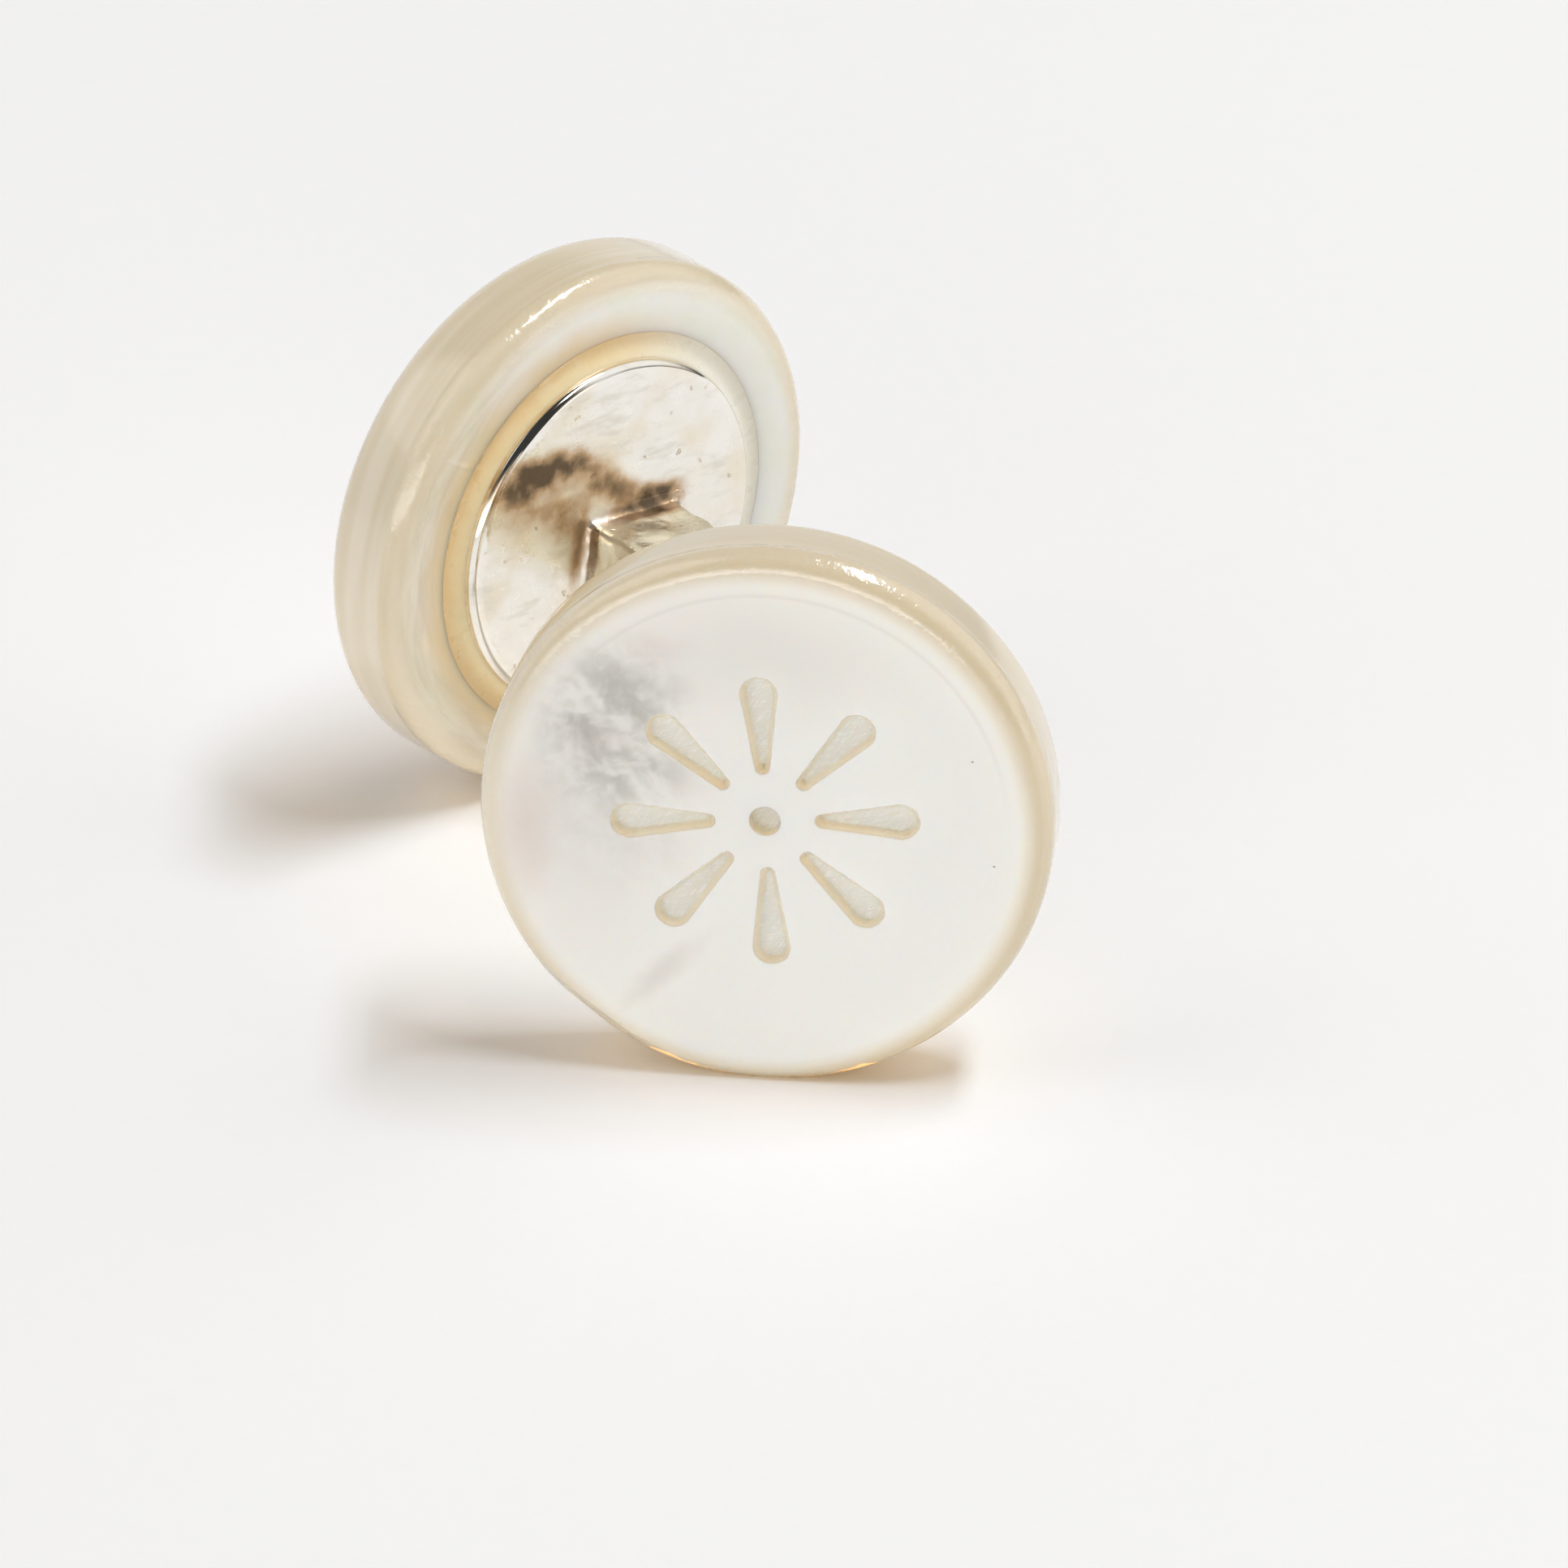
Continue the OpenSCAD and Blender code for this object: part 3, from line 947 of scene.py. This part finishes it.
def honey_cement(name, place):
    """Translucent cement, a little uneven in colour."""
    made = material(name)
    tree = made.node_tree
    at = on_bench(tree, place)
    x, _, _, radius = parts_of(tree, at)
    ragged = sums(tree, "MULTIPLY_ADD", clouds(tree, at, 0.8, 4, 0.6), 0.9, radius)
    colour = over(tree, fade(tree, ragged, 5.4, 6.0), HONEY, HONEY_DARK)
    colour = over(tree, fade(tree, x, -1.0, 3.8, 0, 0.95), colour, HONEY_PALE)
    bumped = node(tree, "Bump", {"Height": clouds(tree, at, 2.5, 3), "Strength": 1.0,
                                 "Distance": SOFT_BUMP})
    roughness = fade(tree, clouds(tree, at, 2, 2), 0.3, 0.7, 0.25, 0.45)
    surface(tree, {"Base Color": colour, "Roughness": roughness, "Normal": bumped.outputs[0],
                   "Subsurface Weight": 0.3, "Subsurface Scale": 0.3 * MM,
                   "Subsurface Radius": (1.0, 0.8, 0.6)})
    return made


def white_paper():
    made = material("white_paper")
    tree = made.node_tree
    at = on_bench(tree, Matrix())
    fibres = clouds(tree, at, 1.2, 6, 0.7)
    colour = over(tree, fibres, PAPER, PAPER_FIBRE)
    bumped = node(tree, "Bump", {"Height": fibres, "Strength": 0.5, "Distance": SOFT_BUMP})
    surface(tree, {"Base Color": colour, "Roughness": 0.9, "Normal": bumped.outputs[0]})
    return made


def put_on(piece, finish, node_name):
    """Gives a piece its finish, and puts it in the place of its solid."""
    piece.data.materials.clear()
    piece.data.materials.append(finish)
    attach(piece, "root")
    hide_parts(node_name)
    return piece


# The studio. Its lengths are in metres, but the lens and the sensor are in millimetres

AIM = Vector((0.002519, -0.002217, 0.004160))
LOOK_ACROSS = math.radians(-17.28)
LOOK_DOWN = math.radians(26.448)
CAMERA_AWAY = 0.52045
LENS = 453.94
SENSOR = 36
NEAREST = 0.01
FURTHEST = 10
KEY_FROM = Vector((0.38, -0.135, 1)).normalized()
KEY_AWAY = 0.6
KEY_SIZE = (0.36, 0.08)
KEY_POWER = 2.1
# What of the key light the shells let through, and what they stop
GLOW = (0.24, 0.13, 0.01)
STOPPED = tuple(1 - part for part in GLOW)
# What leaves a shell again where it stands on the paper: a small light in each disc's foot,
# this far behind its outer face and above the paper
FOOT_GLOW = (1.0, 0.48, 0.06)
FOOT_POWER = 0.00009
FOOT_SIZE = (6 * MM, 2 * MM)
FOOT_BEHIND = 1
FOOT_HEIGHT = 0.6 * MM
PAPER_SIZE = 3
# Where the light from all round comes from, and how strong it is
FRONT_FROM = Vector((-0.2, -0.98, 0)).normalized()
VIEWER_FROM = Vector((0.3, -0.93, 0.2)).normalized()
BACK_FROM = Vector((-0.25, 0.97, 0)).normalized()
CARD_FROM = Vector((-0.7, 0.08, 0.71)).normalized()
RIGHT_FROM = Vector((0.8, 0, 0.6)).normalized()
AIR_DARK = 0.04
AIR_FRONT = 3.35
AIR_BACK = 0.8
AIR_CARD = 1.1
AIR_RIGHT = 0.9


def camera():
    look = Vector((-math.sin(LOOK_ACROSS) * math.cos(LOOK_DOWN),
                   math.cos(LOOK_ACROSS) * math.cos(LOOK_DOWN), -math.sin(LOOK_DOWN)))
    clear_bench()
    bpy.ops.object.camera_add(location=AIM - look * CAMERA_AWAY,
                              rotation=look.to_track_quat("-Z", "Y").to_euler())
    made = bpy.context.object
    made.data.lens = LENS
    made.data.sensor_width = SENSOR
    made.data.clip_start = NEAREST
    made.data.clip_end = FURTHEST
    bpy.context.scene.camera = made


def soft_light(name, place, rotation, size, power, colour):
    """A soft box that shines downwards before it is turned."""
    clear_bench()
    bpy.ops.object.light_add(type="AREA", location=place, rotation=rotation)
    made = bpy.context.object
    made.name = name
    made.data.shape = "RECTANGLE"
    made.data.size, made.data.size_y = size
    made.data.energy = power
    made.data.color = colour
    return made


def studio_air():
    """Light from all round: bright low in front, with the dark shape of whoever takes the
    photo in it, less at the back and at the right, and a white card high at the left."""
    world = bpy.data.worlds.new("studio_air")
    world.use_nodes = True
    tree = world.node_tree
    way = node(tree, "TexCoord").outputs["Generated"]
    front = vectors(tree, "DOT_PRODUCT", way, FRONT_FROM, output="Value")
    back = vectors(tree, "DOT_PRODUCT", way, BACK_FROM, output="Value")
    up = node(tree, "SeparateXYZ", {0: way}).outputs[2]
    viewer = vectors(tree, "DOT_PRODUCT", way, VIEWER_FROM, output="Value")
    card = vectors(tree, "DOT_PRODUCT", way, CARD_FROM, output="Value")
    # What is bright is low, so that it lights what stands more than what lies
    front = product(tree, fade(tree, front, 0.1, 0.9), fade(tree, up, 0.1, 0.5, 1, 0),
                    fade(tree, viewer, 0.86, 0.95, 1, 0))
    right = vectors(tree, "DOT_PRODUCT", way, RIGHT_FROM, output="Value")
    back = product(tree, fade(tree, back, 0.1, 0.85), fade(tree, up, 0.3, 0.75, 1, 0.1))
    strength = sums(tree, "MULTIPLY_ADD", front, AIR_FRONT, AIR_DARK)
    strength = sums(tree, "MULTIPLY_ADD", back, AIR_BACK, strength)
    strength = sums(tree, "MULTIPLY_ADD", fade(tree, card, 0.9, 0.95), AIR_CARD, strength)
    strength = sums(tree, "MULTIPLY_ADD", fade(tree, right, 0.75, 0.95), AIR_RIGHT, strength)
    air = tree.nodes["Background"].inputs
    air["Color"].default_value = (1, 1, 1, 1)
    tree.links.new(strength, air["Strength"])
    bpy.context.scene.world = world


def studio(silver):
    """White paper, and a key light in two parts: shell lets only the warm part through, and
    gives some of it back where it stands on the paper."""
    clear_bench()
    bpy.ops.mesh.primitive_plane_add(size=PAPER_SIZE)
    floor = added("floor")
    floor.data.materials.append(white_paper())
    key_place = AIM + KEY_FROM * KEY_AWAY
    key_turn = (-KEY_FROM).to_track_quat("-Z", "Y").to_euler()
    soft_light("key_light", key_place, key_turn, KEY_SIZE, KEY_POWER, STOPPED)
    glows = [soft_light("glow_light", key_place, key_turn, KEY_SIZE, KEY_POWER, GLOW)]
    for name, place, turn in (("front_foot_glow", AT_FRONT, -LEAN),
                              ("rear_foot_glow", AT_REAR, LEAN)):
        foot = place @ Vector((0, 0, DISC_T - FOOT_BEHIND)) * MM
        foot.z = FOOT_HEIGHT
        glows.append(soft_light(name, foot, (0, 0, turn), FOOT_SIZE, FOOT_POWER, FOOT_GLOW))
    stoppers = bpy.data.collections.new("glow_stoppers")
    stoppers.objects.link(silver)
    for glow in glows:
        glow.light_linking.blocker_collection = stoppers
    studio_air()
    bpy.context.scene.view_settings.view_transform = "Standard"


put_on(front_shell(), nacre("front_nacre", AT_FRONT, True), "front_disc")
put_on(rear_shell(), nacre("rear_nacre", AT_REAR, False), "rear_disc")
link = put_on(silver_link(), polished_silver(), "link")
put_on(cement_ring("front_cement_ring", AT_FRONT), honey_cement("front_honey", AT_FRONT),
       "front_cement")
put_on(cement_ring("rear_cement_ring", AT_REAR), honey_cement("rear_honey", AT_REAR),
       "rear_cement")
camera()
studio(link)
